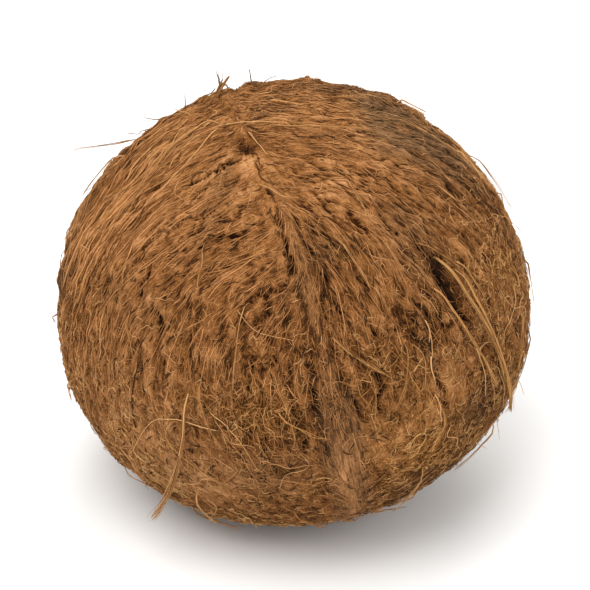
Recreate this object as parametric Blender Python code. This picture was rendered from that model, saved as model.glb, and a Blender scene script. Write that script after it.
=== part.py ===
"""A husked coconut that stands on its eye end and leans a little to one side.

The nut is one piece: the shell in the coat of fibre that husking leaves on it. Fibre bundles
and three seams are raised from the surface, and loose strands are rooted in it. Units are
metres, +Z is up, and the origin is the middle of the flat spot that the nut rests on.
"""

import math

import bmesh
import bpy
import numpy as np
from mathutils import Matrix

MM = 0.001
NAME = "coconut"

# The form, measured about the nut's own axis, which runs from the eyes up to the point.
GIRTH_RADIUS = 59.2 * MM  # the fibre stands 1 to 2 mm outside it
UPPER_HALF = 56.2 * MM  # from the girth up to the point
LOWER_HALF = 47.5 * MM  # from the girth down to the eyes
UPPER_TAPER = 0.03  # the upper half is this share slimmer, and the lower half fuller
LOWER_BLUNTNESS = 0.91  # under 1 makes the eye end squarer
POINT_HEIGHT = 1.4 * MM
POINT_SPREAD = 0.24  # radians from the axis
SWELL = 3.0 * MM  # one side bulges low down
SWELL_POLAR, SWELL_AROUND = math.radians(120), math.radians(-32)
SWELL_SPREAD = math.radians(40)

# How the nut leans where it stands, and how much of the smooth form's lowest point is flattened.
LEAN = math.radians(17)
LEAN_TOWARDS = math.radians(-135)
FLATTENED = 0.7 * MM

# Three seams run from the point down to the eyes.
SEAMS = [math.radians(a) for a in (-80, 40, 161)]
SEAM_TWIST = math.radians(20)  # how far each swings round the nut as it nears the point
SEAM_TWIST_SPREAD = math.radians(35)
SEAM_HEIGHT = 1.5 * MM
SEAM_HALF_WIDTH = 2.6 * MM
LOBE = 0.7 * MM  # the nut is a little three-sided, with a seam on each corner

# The husk's fibre bundles, each a long low ridge that ends in a ragged step.
BUNDLES = 560
BUNDLE_HALF_LENGTH = (8 * MM, 20 * MM)
BUNDLE_HALF_WIDTH = (1.7 * MM, 3.2 * MM)
BUNDLE_HEIGHT = (0.5 * MM, 2.0 * MM)
BUNDLE_SLANT = 0.048  # most that a bundle swings round the nut from its middle to its end, radians
BUNDLE_TAIL = 0.15  # the share of its length over which a bundle's lower end drops away
POLE_FADE, POLE_LEAST = 0.25, 0.25  # near both ends bundles are this share of their height
LOW_SHARE = 0.65  # under the girth the fibre is matted and lies flatter
LOW_FROM, LOW_TO = math.radians(65), math.radians(92)

# The pit beside the point, where the husk was torn off.
PIT_POLAR, PIT_AROUND = math.radians(7), math.radians(-80)
PIT_RADIUS, PIT_DEPTH = 3.0 * MM, 2.2 * MM

# The hollow beside the side strands, a short trough where a bundle is missing.
HOLLOW_POLAR, HOLLOW_AROUND = math.radians(74), math.radians(-37.5)
HOLLOW_HALF_LENGTH, HOLLOW_HALF_WIDTH = 16 * MM, 2.8 * MM
HOLLOW_DEPTH = 1.8 * MM

# The eyes, one in each of the three sides.
EYE_FROM_AXIS = 8.5 * MM
EYE_RADIUS = 3.7 * MM
EYE_DEPTH = 2.0 * MM
FIBRE_AT_EYES = 0.6 * MM  # how far the fibre round an eye stands over the smooth form
EYE_SEGMENTS, EYE_RINGS = 14, 9

# Loose strands: three-sided, rooted in the nut, mostly lying towards the eyes.
STRANDS = 106
STRAND_LENGTH = (12 * MM, 27 * MM)
STRAND_RADIUS = (0.42 * MM, 0.6 * MM)
STRAND_LIFT = (1.8 * MM, 3.2 * MM)  # how far its free end stands off
STRAND_ROOT = 1.9 * MM  # how deep its root end sits under the smooth form
STRAND_CLEARANCE = 1.7 * MM  # how far over the smooth form it comes out
STRAND_SWING_HIGH, STRAND_SWING_LOW = 0.35, 1.25  # its turn from the meridian, near point and eyes
SHORT_SHARES = (0.0, 0.25, 0.5, 0.75, 1.0)  # where a strand's points lie along it
LONG_SHARES = (0.0, 0.12, 0.28, 0.46, 0.64, 0.82, 1.0)
TIP_SHARE = 0.72  # a tip's radius, as a share of its root's
FLOOR_GAP = 2.0 * MM  # the least that a strand stays above what the nut stands on
WELD = 0.01 * MM
NEAR_POLE = 0.15  # a strand's steps round the nut are worked out on a ring no smaller than this

# The long strands that hang free: polar and around angles of the root and its heading (degrees,
# 0 is straight towards the eyes), then length, radius, lift at the tip (mm) and turn (degrees).
LONG_STRANDS = {
    "low_hanging": (66, -113, 0, 46, 0.9, 8.5, -36),
    "side_upper": (54, -34.5, 0, 56, 0.85, 3.4, 2),
    "side_twin": (60, -32, -2, 42, 0.6, 4.2, -5),
    "side_lower": (60, -41.5, 4, 34, 0.6, 3.0, 2),
    "crown_left": (5, 140, 34, 28, 0.5, 2.4, 6),
    "stray_left": (24, 156, -4, 24, 0.5, 12.0, 8),
    "tuft_top": (20, 105, -5, 15, 0.7, 6.5, 0),
    "crown_right": (4, -35, 30, 28, 0.45, 2.4, -20),
}

STANDING_SAMPLES = 720  # grid lines each way that the lowest point is looked for on
SEGMENTS, RINGS = 148, 27
SEED = 20


def clear_scene():
    for thing in list(bpy.data.objects):
        bpy.data.objects.remove(thing, do_unlink=True)


def new_collection(name):
    made = bpy.data.collections.new(name)
    bpy.context.scene.collection.children.link(made)
    return made


def wrapped(angle):
    """An angle brought between minus pi and pi."""
    return (angle + math.pi) % (2 * math.pi) - math.pi


def smooth_form(polar, around):
    """Points of the nut without its fibre: an oblate egg with a small point and a low swell."""
    sine, cosine = np.sin(polar), np.cos(polar)
    upper = cosine > 0
    blunt = np.where(upper, sine, np.maximum(sine, 0) ** LOWER_BLUNTNESS)
    lobes = LOBE * np.cos(3 * (around - SEAMS[0])) * sine**2
    ring = (GIRTH_RADIUS + lobes) * blunt * (1 - UPPER_TAPER * cosine)
    height = np.where(upper, UPPER_HALF, LOWER_HALF) * cosine
    height = height + POINT_HEIGHT * np.exp(-((polar / POINT_SPREAD) ** 2))
    side = wrapped(around - SWELL_AROUND) * math.sin(SWELL_POLAR)
    apart = (polar - SWELL_POLAR) ** 2 + side**2
    ring = ring + SWELL * np.exp(-apart / SWELL_SPREAD**2) * sine
    return np.stack([ring * np.cos(around), ring * np.sin(around), height], -1)


def outward(polar, around):
    """Unit vectors that point straight out of the smooth form."""
    half = np.where(np.cos(polar) > 0, UPPER_HALF, LOWER_HALF)
    flat = np.sin(polar) / GIRTH_RADIUS
    out = np.stack([flat * np.cos(around), flat * np.sin(around), np.cos(polar) / half], -1)
    return out / np.linalg.norm(out, axis=-1, keepdims=True)


def seam_relief(polar, around):
    """Height of the three seams, which swing round near the point and fade out at both ends."""
    ring = GIRTH_RADIUS * np.sin(polar)
    twist = SEAM_TWIST * np.exp(-polar / SEAM_TWIST_SPREAD)
    across = [wrapped(around - seam - twist) * ring for seam in SEAMS]
    crest = sum(np.exp(-((a / SEAM_HALF_WIDTH) ** 2)) for a in across)
    return SEAM_HEIGHT * crest * np.sin(polar) ** 0.5


def draw_bundles(rng):
    """Bundles spread evenly by the golden angle: middle, size and slant of each."""
    golden = math.pi * (3 - math.sqrt(5))
    number = np.arange(BUNDLES)
    return {
        "polar": np.arccos(1 - 2 * (number + 0.5) / BUNDLES),
        "around": wrapped(number * golden + rng.uniform(-0.03, 0.03, BUNDLES)),
        "half_length": rng.uniform(*BUNDLE_HALF_LENGTH, BUNDLES),
        "half_width": rng.uniform(*BUNDLE_HALF_WIDTH, BUNDLES),
        "height": rng.uniform(*BUNDLE_HEIGHT, BUNDLES),
        "slant": rng.uniform(-BUNDLE_SLANT, BUNDLE_SLANT, BUNDLES),
    }


def bundle_relief(polar, around, bundles):
    """Height of the tallest bundle at each point. Each rises slowly and ends in a step."""
    relief = np.zeros_like(polar)
    ring = np.maximum(GIRTH_RADIUS * np.sin(polar), 2 * MM)
    for i in range(BUNDLES):
        along = (polar - bundles["polar"][i]) * UPPER_HALF / bundles["half_length"][i]
        middle = bundles["around"][i] + bundles["slant"][i] * along
        across = wrapped(around - middle) * ring / bundles["half_width"][i]
        rise = np.clip((along + 1) / (2 - 2 * BUNDLE_TAIL), 0, 1)
        rise = rise * np.clip((1 - along) / (2 * BUNDLE_TAIL), 0, 1)
        shape = np.clip(1 - across**2, 0, 1) * np.where(np.abs(along) < 1, rise, 0)
        relief = np.maximum(relief, bundles["height"][i] * shape)
    low = np.clip((polar - LOW_FROM) / (LOW_TO - LOW_FROM), 0, 1)
    relief = relief * (1 - (1 - LOW_SHARE) * low)
    return relief * np.clip(np.sin(polar) / POLE_FADE, POLE_LEAST, 1)


def pit_relief(polar, around):
    """The torn pit, a hollow a few millimetres across beside the point."""
    here = smooth_form(polar, around)
    pit = smooth_form(np.array([PIT_POLAR]), np.array([PIT_AROUND]))
    apart = np.linalg.norm(here - pit, axis=-1)
    return -PIT_DEPTH * np.exp(-((apart / PIT_RADIUS) ** 2))


def hollow_relief(polar, around):
    """The trough beside the side strands: a bell across, flat-bottomed along."""
    along = (polar - HOLLOW_POLAR) * UPPER_HALF / HOLLOW_HALF_LENGTH
    across = wrapped(around - HOLLOW_AROUND) * GIRTH_RADIUS * np.sin(polar) / HOLLOW_HALF_WIDTH
    return -HOLLOW_DEPTH * np.exp(-(across**2)) * np.clip(1 - along**4, 0, 1)


def lean_matrix():
    axis = (-math.sin(LEAN_TOWARDS), math.cos(LEAN_TOWARDS), 0)
    return Matrix.Rotation(LEAN, 4, axis)


def standing_matrix():
    """Leans the nut and puts the middle of its rest spot at the origin."""
    polar = np.linspace(0, math.pi, STANDING_SAMPLES)
    around = np.linspace(-math.pi, math.pi, STANDING_SAMPLES)
    polar, around = np.meshgrid(polar, around)
    points = smooth_form(polar.ravel(), around.ravel())
    leaned = points @ np.array(lean_matrix().to_3x3()).T
    lowest = leaned[leaned[:, 2].argmin()]
    down = (-lowest[0], -lowest[1], -lowest[2] - FLATTENED)
    return Matrix.Translation(down) @ lean_matrix()


def husk_material():
    made = bpy.data.materials.new("husk_fibre")
    made.use_nodes = True
    shader = made.node_tree.nodes["Principled BSDF"]
    shader.inputs["Base Color"].default_value = (0.26, 0.115, 0.04, 1)
    shader.inputs["Roughness"].default_value = 0.85
    shader.inputs["Metallic"].default_value = 0.0
    return made


def make_body(parts, bundles, stand):
    """A sphere whose vertices are moved out to the nut's form and its relief."""
    bpy.ops.mesh.primitive_uv_sphere_add(segments=SEGMENTS, ring_count=RINGS, radius=1)
    body = bpy.context.object
    body.name = body.data.name = NAME
    unit = np.zeros(len(body.data.vertices) * 3)
    body.data.vertices.foreach_get("co", unit)
    unit = unit.reshape(-1, 3)
    polar = np.arccos(np.clip(unit[:, 2], -1, 1))
    around = np.arctan2(unit[:, 1], unit[:, 0])
    raised = seam_relief(polar, around) + bundle_relief(polar, around, bundles)
    raised = raised + pit_relief(polar, around) + hollow_relief(polar, around)
    points = smooth_form(polar, around) + outward(polar, around) * raised[:, None]
    body.data.vertices.foreach_set("co", points.ravel())
    body.data.transform(stand)
    for collection in list(body.users_collection):
        collection.objects.unlink(body)
    parts.objects.link(body)
    return body


def make_cutter(cutters, name, stand):
    cutter = bpy.context.object
    cutter.name = name
    cutter.matrix_world = stand @ cutter.matrix_world
    cutter.hide_render = True
    cutter.display_type = "WIRE"
    for collection in list(cutter.users_collection):
        collection.objects.unlink(cutter)
    cutters.objects.link(cutter)
    return cutter


def make_eye_cutters(cutters, stand):
    """A ball for each eye, sunk so that it cuts a dish of the eye's radius and depth."""
    ball = (EYE_RADIUS**2 + EYE_DEPTH**2) / (2 * EYE_DEPTH)
    polar = math.pi - EYE_FROM_AXIS / LOWER_HALF
    for i, seam in enumerate(SEAMS):
        around = seam + math.pi / 3
        surface = smooth_form(np.array([polar]), np.array([around]))[0]
        out = outward(np.array([polar]), np.array([around]))[0]
        middle = surface + out * (ball - EYE_DEPTH + FIBRE_AT_EYES)
        bpy.ops.mesh.primitive_uv_sphere_add(
            segments=EYE_SEGMENTS, ring_count=EYE_RINGS, radius=ball, location=middle.tolist()
        )
        bpy.context.view_layer.update()
        make_cutter(cutters, f"cut_eye_{i + 1}", stand)


def make_floor_cutter(cutters):
    """A block whose top face is the surface that the nut stands on."""
    side = 2.4 * GIRTH_RADIUS
    bpy.ops.mesh.primitive_cube_add(size=side, location=(0, 0, -side / 2))
    bpy.context.view_layer.update()
    make_cutter(cutters, "cut_rest_spot", Matrix.Identity(4))


def cut_body(body, cutters):
    for cutter in cutters.objects:
        cut = body.modifiers.new(cutter.name, "BOOLEAN")
        cut.operation = "DIFFERENCE"
        cut.solver = "EXACT"
        cut.object = cutter


def strand_path(polar, around, heading, length, lift, turn):
    """Points along a strand: sunk root, then over the surface, its free end standing off.

    The route is stepped over the smooth form, its heading turning evenly. Each point's height
    over the form grows with the square of its way along the strand.
    """
    shares = LONG_SHARES if length > STRAND_LENGTH[1] else SHORT_SHARES
    points, done = [], 0.0
    for share in shares:
        step = (share - done) * length
        way = heading + turn * share
        polar = polar + math.cos(way) * step / UPPER_HALF
        around = around + math.sin(way) * step / (GIRTH_RADIUS * max(math.sin(polar), NEAR_POLE))
        height = STRAND_CLEARANCE + (lift - STRAND_CLEARANCE) * share**2 if share else -STRAND_ROOT
        at = smooth_form(np.array([polar]), np.array([around]))[0]
        out = outward(np.array([polar]), np.array([around]))[0]
        points.append(at + out * height)
        done = share
    return points


def triangle_profile():
    """The section that every strand is swept with: a triangle of unit radius."""
    curve = bpy.data.curves.new("strand_section", "CURVE")
    curve.dimensions = "2D"
    spline = curve.splines.new("POLY")
    spline.points.add(2)
    for i, point in enumerate(spline.points):
        angle = math.pi / 2 + i * 2 * math.pi / 3
        point.co = (math.cos(angle), math.sin(angle), 0, 1)
    spline.use_cyclic_u = True
    return bpy.data.objects.new("strand_section", curve)


def make_strand(name, points, radius, section, holder, stand):
    """A tapered three-sided tube along the points, as a closed mesh."""
    curve = bpy.data.curves.new(name, "CURVE")
    curve.dimensions = "3D"
    curve.bevel_mode = "OBJECT"
    curve.bevel_object = section
    curve.use_fill_caps = True
    spline = curve.splines.new("POLY")
    spline.points.add(len(points) - 1)
    for i, (point, at) in enumerate(zip(spline.points, points)):
        point.co = (*at, 1)
        point.radius = radius * (1 + (TIP_SHARE - 1) * i / (len(points) - 1))
    guide = bpy.data.objects.new(name + "_guide", curve)
    holder.objects.link(guide)
    bpy.context.view_layer.update()
    evaluated = guide.evaluated_get(bpy.context.evaluated_depsgraph_get())
    mesh = bpy.data.meshes.new_from_object(evaluated)
    bpy.data.objects.remove(guide)
    welder = bmesh.new()
    welder.from_mesh(mesh)
    bmesh.ops.remove_doubles(welder, verts=welder.verts, dist=WELD)
    bmesh.ops.recalc_face_normals(welder, faces=welder.faces)
    welder.to_mesh(mesh)
    welder.free()
    mesh.transform(stand)
    strand = bpy.data.objects.new(name, mesh)
    holder.objects.link(strand)
    return strand


def draw_strands(rng):
    """Roots spread evenly by the golden angle, with each strand's heading, size and turn."""
    golden = math.pi * (3 - math.sqrt(5))
    for i in range(STRANDS):
        polar = math.acos(1 - 2 * (i + 0.5) / STRANDS)
        low = polar / math.pi
        swing = STRAND_SWING_HIGH + (STRAND_SWING_LOW - STRAND_SWING_HIGH) * low
        yield {
            "polar": polar,
            "around": i * golden + rng.uniform(-0.12, 0.12),
            "heading": rng.uniform(-swing, swing),
            "length": rng.uniform(*STRAND_LENGTH),
            "lift": rng.uniform(*STRAND_LIFT),
            "turn": rng.uniform(-swing, swing),
        }, rng.uniform(*STRAND_RADIUS)


def make_strands(holder, section, stand, rng):
    """Every strand that stays clear of the surface the nut stands on."""
    wanted = [(f"strand_{i:03d}", *drawn) for i, drawn in enumerate(draw_strands(rng))]
    for name, (polar, around, heading, length, radius, lift, turn) in LONG_STRANDS.items():
        route = {
            "polar": math.radians(polar),
            "around": math.radians(around),
            "heading": math.radians(heading),
            "length": length * MM,
            "lift": lift * MM,
            "turn": math.radians(turn),
        }
        wanted.append((name, route, radius * MM))
    turned = np.array(stand)
    for name, route, radius in wanted:
        points = strand_path(**route)
        lowest = min((turned[:3, :3] @ p + turned[:3, 3])[2] for p in points)
        if lowest > FLOOR_GAP + radius:
            make_strand(name, points, radius, section, holder, stand)


def shells_of(worker):
    """The vertices of each connected shell, smallest shell first."""
    waiting, shells = set(worker.verts), []
    while waiting:
        growing = [waiting.pop()]
        shell = set(growing)
        while growing:
            for edge in growing.pop().link_edges:
                fresh = waiting.intersection(edge.verts)
                waiting -= fresh
                shell |= fresh
                growing.extend(fresh)
        shells.append(shell)
    return sorted(shells, key=len)


def clean_join(mesh):
    """Fills any hollow sealed under crossed strands, and drops the join's spare points.

    A spare point lies partway along a straight edge, between two edges only. Left in, it
    would make triangles of no area.
    """
    worker = bmesh.new()
    worker.from_mesh(mesh)
    for shell in shells_of(worker)[:-1]:
        bmesh.ops.delete(worker, geom=list(shell), context="VERTS")
    spare = [vert for vert in worker.verts if len(vert.link_edges) == 2]
    bmesh.ops.dissolve_verts(worker, verts=spare)
    bmesh.ops.triangulate(worker, faces=worker.faces)
    worker.to_mesh(mesh)
    worker.free()


def join_strands(body, holder):
    """Fuses the strands with the nut, then removes their own objects."""
    join = body.modifiers.new("strands", "BOOLEAN")
    join.operation = "UNION"
    join.solver = "MANIFOLD"
    join.operand_type = "COLLECTION"
    join.collection = holder
    bpy.context.view_layer.update()
    evaluated = body.evaluated_get(bpy.context.evaluated_depsgraph_get())
    mesh = bpy.data.meshes.new_from_object(evaluated)
    body.modifiers.clear()
    clean_join(mesh)
    body.data = mesh
    mesh.name = NAME
    for strand in list(holder.objects):
        bpy.data.objects.remove(strand)
    bpy.data.collections.remove(holder)


def main():
    clear_scene()
    parts = new_collection("husked_coconut")
    cutters = new_collection("cutters")
    holder = new_collection("strands")
    rng = np.random.default_rng(SEED)
    stand = standing_matrix()
    bundles = draw_bundles(rng)
    body = make_body(parts, bundles, stand)
    make_floor_cutter(cutters)
    make_eye_cutters(cutters, stand)
    cut_body(body, cutters)
    section = triangle_profile()
    cutters.objects.link(section)
    section.hide_render = True
    make_strands(holder, section, stand, rng)
    join_strands(body, holder)
    body.data.materials.clear()
    body.data.materials.append(husk_material())
    body.data.shade_smooth()
    body.data.set_sharp_from_angle(angle=math.radians(60))
    print(f"{NAME}: {len(body.data.polygons)} triangles")


main()
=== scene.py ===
import math

import bpy
import numpy as np
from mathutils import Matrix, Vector


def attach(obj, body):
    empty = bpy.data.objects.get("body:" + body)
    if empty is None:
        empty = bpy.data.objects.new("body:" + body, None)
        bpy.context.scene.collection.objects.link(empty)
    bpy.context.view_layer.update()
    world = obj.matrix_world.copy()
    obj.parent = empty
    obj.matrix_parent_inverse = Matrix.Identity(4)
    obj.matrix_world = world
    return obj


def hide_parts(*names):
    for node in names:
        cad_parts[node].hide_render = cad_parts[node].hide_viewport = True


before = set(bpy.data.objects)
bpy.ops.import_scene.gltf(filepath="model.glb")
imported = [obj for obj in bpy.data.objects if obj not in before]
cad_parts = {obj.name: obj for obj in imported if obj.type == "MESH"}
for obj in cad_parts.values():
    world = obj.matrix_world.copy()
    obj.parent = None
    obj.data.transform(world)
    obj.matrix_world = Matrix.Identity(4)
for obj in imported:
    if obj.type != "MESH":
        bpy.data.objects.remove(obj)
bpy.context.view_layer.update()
toMetres = 0.001  # lengths in this script are in millimetres until a mesh is made

# The nut's own form, about its axis from the eyes up to the point. Angles are in degrees.
nut = {
    "girthRadius": 59.2, "upperHalf": 56.2, "lowerHalf": 47.5,
    "upperTaper": 0.03, "lowerBluntness": 0.91,
    "pointHeight": 1.4, "pointSpread": 0.24,
    "swell": 3.0, "swellPolar": 120, "swellAround": -32, "swellSpread": 40,
    "lean": 17, "leanTowards": -135, "flattened": 0.7,
    "seams": (-80, 40, 161), "seamTwist": 20, "seamTwistSpread": 35,
    "seamHeight": 1.5, "seamHalfWidth": 2.6, "lobe": 0.7,
    "pitPolar": 7, "pitAround": -80, "pitRadius": 3.0, "pitDepth": 2.2,
    "eyeFromAxis": 8.5, "eyeRadius": 3.7, "eyeDepth": 2.0,
}
# The fibre bundles that the solid nut has too, drawn in the same order from the same seed.
bundles = {
    "count": 560, "seed": 20, "halfLength": (8, 20), "halfWidth": (1.7, 3.2), "height": (0.5, 2.0),
    "slant": 0.048, "tail": 0.15, "poleFade": 0.25, "poleLeast": 0.25,
    "lowShare": 0.65, "lowFrom": 65, "lowTo": 92,
}
hollow = {"polar": 74, "around": -37.5, "halfLength": 16, "halfWidth": 2.8, "depth": 1.8}
golden = math.pi * (3 - math.sqrt(5))


def wrapped(angle):
    return (angle + math.pi) % (2 * math.pi) - math.pi


def eased(value, low, high):
    # 0 up to low, 1 from high on, and a smooth S between them
    share = np.clip((value - low) / (high - low), 0, 1)
    return share * share * (3 - 2 * share)


def blended(pair, share):
    # the first value where share is 0, the second where it is 1
    return pair[0] + (pair[1] - pair[0]) * share


def normalised(vectors):
    # each vector brought to a length of 1
    return vectors / np.maximum(np.linalg.norm(vectors, axis=-1, keepdims=True), 1e-9)


def smoothForm(polar, around):
    # ring radius = (girth + lobes) * sin(polar) ^ bluntness * taper, plus a round swell on one side;
    # height = half height * cos(polar), plus a small point
    sine, cosine = np.sin(polar), np.cos(polar)
    upper = cosine > 0
    blunt = np.where(upper, sine, np.maximum(sine, 0) ** nut["lowerBluntness"])
    lobes = nut["lobe"] * np.cos(3 * (around - math.radians(nut["seams"][0]))) * sine**2
    ring = (nut["girthRadius"] + lobes) * blunt * (1 - nut["upperTaper"] * cosine)
    height = np.where(upper, nut["upperHalf"], nut["lowerHalf"]) * cosine
    height = height + nut["pointHeight"] * np.exp(-((polar / nut["pointSpread"]) ** 2))
    swellPolar = math.radians(nut["swellPolar"])
    side = wrapped(around - math.radians(nut["swellAround"])) * math.sin(swellPolar)
    apart = (polar - swellPolar) ** 2 + side**2
    ring = ring + nut["swell"] * np.exp(-apart / math.radians(nut["swellSpread"]) ** 2) * sine
    return np.stack([ring * np.cos(around), ring * np.sin(around), height], -1)


def outward(polar, around):
    # the normal of an ellipsoid with the nut's half sizes
    half = np.where(np.cos(polar) > 0, nut["upperHalf"], nut["lowerHalf"])
    flat = np.sin(polar) / nut["girthRadius"]
    return normalised(np.stack([flat * np.cos(around), flat * np.sin(around), np.cos(polar) / half], -1))


def leanMatrix():
    # rotation by the lean about the level axis square to its direction (Rodrigues' formula)
    towards, angle = math.radians(nut["leanTowards"]), math.radians(nut["lean"])
    x, y = -math.sin(towards), math.cos(towards)
    cross = np.array([[0, 0, y], [0, 0, -x], [-y, x, 0]])
    return np.eye(3) + math.sin(angle) * cross + (1 - math.cos(angle)) * cross @ cross


def standingPlace():
    # the leaned nut is moved so that the lowest point of its smooth form is just under the origin
    polar, around = np.meshgrid(np.linspace(0, math.pi, 720), np.linspace(-math.pi, math.pi, 720))
    leaned = smoothForm(polar.ravel(), around.ravel()) @ lean.T
    lowest = leaned[leaned[:, 2].argmin()]
    return -lowest - np.array([0, 0, nut["flattened"]])


lean = leanMatrix()
standing = standingPlace()


def stand(points):
    return points @ lean.T + standing


# The husk is combed left and right from a parting through the point, and straight down on the
# rest of the nut. Angles are in degrees; each side's combing dies out between two polar angles.
flow = {"parting": -75, "left": -165, "right": -5, "leftFades": (22, 82), "rightFades": (10, 50),
        "partingWidth": 0.12}


def unitPoint(polar, around):
    sine = np.sin(polar)
    return np.stack([sine * np.cos(around), sine * np.sin(around), np.cos(polar)], -1)


def anglesOf(unit):
    return np.arccos(np.clip(unit[..., 2], -1, 1)), np.arctan2(unit[..., 1], unit[..., 0])


def flatWay(degrees):
    angle = math.radians(degrees)
    return np.array([math.cos(angle), math.sin(angle), 0])


def meridian(unit):
    # the unit vector along the surface, straight towards the eyes
    ring = np.maximum(np.hypot(unit[..., 0], unit[..., 1]), 1e-6)
    return np.stack([unit[..., 0] * unit[..., 2] / ring, unit[..., 1] * unit[..., 2] / ring, -ring], -1)


def combShares(unit):
    # how much of the combing is to the left, to the right and straight down; the three add up to 1
    polar = np.arccos(np.clip(unit[..., 2], -1, 1))
    half = flow["partingWidth"]
    right = eased(unit @ flatWay(flow["parting"] + 90), -half, half)
    left = (1 - right) * (1 - eased(polar, *np.radians(flow["leftFades"])))
    right = right * (1 - eased(polar, *np.radians(flow["rightFades"])))
    return np.stack([left, right, 1 - left - right], -1)


def combed(unit):
    # way = left and right shares of two flat directions laid on the surface, plus the rest straight down
    left, right, down = np.moveaxis(combShares(unit), -1, 0)[..., None]
    away = flatWay(flow["left"]) * left + flatWay(flow["right"]) * right
    return normalised(away - unit * (unit * away).sum(-1, keepdims=True) + down * meridian(unit))


def headingOf(polar, around):
    # the combed way as an angle from the meridian, growing round the nut
    unit = unitPoint(polar, around)
    way = combed(unit)
    down = meridian(unit)
    return np.arctan2((way * np.cross(unit, down)).sum(-1), (way * down).sum(-1))


def walk(polar, around, turn, length, steps, curl, rng):
    # paths of equal steps over the nut, along the combed way turned by turn. The turn swings by two
    # sines of random phase, curl[0] and curl[1] radians high. A row of the result is one fibre.
    count = len(polar)
    phase = rng.uniform(0, 2 * math.pi, (2, count))
    pace = rng.uniform(0.5, 1.1, count), rng.uniform(1.3, 2.6, count)
    unit = unitPoint(polar, around)
    track = [unit]
    for step in range(steps):
        share = (step + 0.5) / steps
        swing = turn + curl[0] * np.sin(2 * math.pi * pace[0] * share + phase[0])
        swing = swing + curl[1] * np.sin(2 * math.pi * pace[1] * share + phase[1])
        way = combed(unit)
        ahead = way * np.cos(swing)[:, None] + np.cross(unit, way) * np.sin(swing)[:, None]
        unit = normalised(unit + ahead * (length / steps / nut["girthRadius"])[:, None])
        track.append(unit)
    return anglesOf(np.stack(track, 1))


def arcs(ends, steps, bow):
    # the shorter arc over the nut between two points of it, bowed sideways by a sine. ends holds the polar
    # and around angles of the first points, then of the last ones, in degrees
    ends = np.radians(ends)
    first, last = unitPoint(ends[0], ends[1]), unitPoint(ends[2], ends[3])
    share = np.linspace(0, 1, steps + 1)
    unit = first[:, None] * (1 - share[:, None]) + last[:, None] * share[:, None]
    side = normalised(np.cross(first, last))
    apart = np.linalg.norm(last - first, axis=-1) * bow
    wave = np.sin(math.pi * share) * (1 + 0.3 * np.sin(5 * share))
    unit = unit + side[:, None] * (apart[:, None] * wave)[..., None]
    return anglesOf(normalised(unit))


# The relief is worked out once on a grid, and every piece reads it from there.
grid = {"around": 450, "polar": 221}  # columns round the nut and rows from the point to the eyes


def gridAngles(finer):
    # the angles at every point of the grid, or of one that is a few times finer
    rows = np.linspace(0, math.pi, grid["polar"] * finer)
    columns = np.arange(grid["around"] * finer) / (grid["around"] * finer) * 2 * math.pi - math.pi
    return np.meshgrid(rows, columns, indexing="ij")


def read(field, polar, around):
    # the grid's value at any point, by bilinear interpolation
    rows, wide = field.shape
    row = np.clip(polar / math.pi * (rows - 1), 0, rows - 1.001)
    column = (around + math.pi) / (2 * math.pi) * wide
    r, c = row.astype(int), np.floor(column).astype(int)
    dr, dc = row - r, column - c
    c, n = c % wide, (c + 1) % wide
    upper = field[r, c] * (1 - dc) + field[r, n] * dc
    lower = field[r + 1, c] * (1 - dc) + field[r + 1, n] * dc
    return upper * (1 - dr) + lower * dr


def blurred(field, times=6):
    # averages each row of the grid with its neighbours, again and again
    for _ in range(times):
        field = (field + np.roll(field, 1, 1) + np.roll(field, -1, 1)) / 3
        padded = np.concatenate([field[:1], field, field[-1:]])
        field = (padded[:-2] + padded[1:-1] + padded[2:]) / 3
    return field


def cloud(rng, times):
    # random numbers smoothed over about the square root of times cells, brought back to a spread of 1
    field = blurred(rng.normal(0, 1, (grid["polar"], grid["around"])), times)
    return field / field.std()


def roundFrom(polar, around, middle):
    # mm round the nut from a middle line
    return wrapped(around - middle) * nut["girthRadius"] * np.sin(polar)


def acrossSeam(polar, around, seam):
    # mm from a seam's crest; each seam swings round the nut as it nears the point
    twist = math.radians(nut["seamTwist"]) * np.exp(-polar / math.radians(nut["seamTwistSpread"]))
    return roundFrom(polar, around - math.radians(seam), twist)


def seamRelief(polar, around):
    # three bell-shaped crests of fixed width, fading to nothing at both poles
    crest = 0
    for seam in nut["seams"]:
        crest = crest + np.exp(-((acrossSeam(polar, around, seam) / nut["seamHalfWidth"]) ** 2))
    return nut["seamHeight"] * crest * np.sin(polar) ** 0.5


def hollowRelief(polar, around):
    # the trough beside the side strands: a bell across, flat-bottomed along
    along = (polar - math.radians(hollow["polar"])) * nut["upperHalf"] / hollow["halfLength"]
    across = roundFrom(polar, around, math.radians(hollow["around"])) / hollow["halfWidth"]
    shape = np.exp(-(across**2)) * np.clip(1 - along**4, 0, 1)
    return -hollow["depth"] * shape


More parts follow.
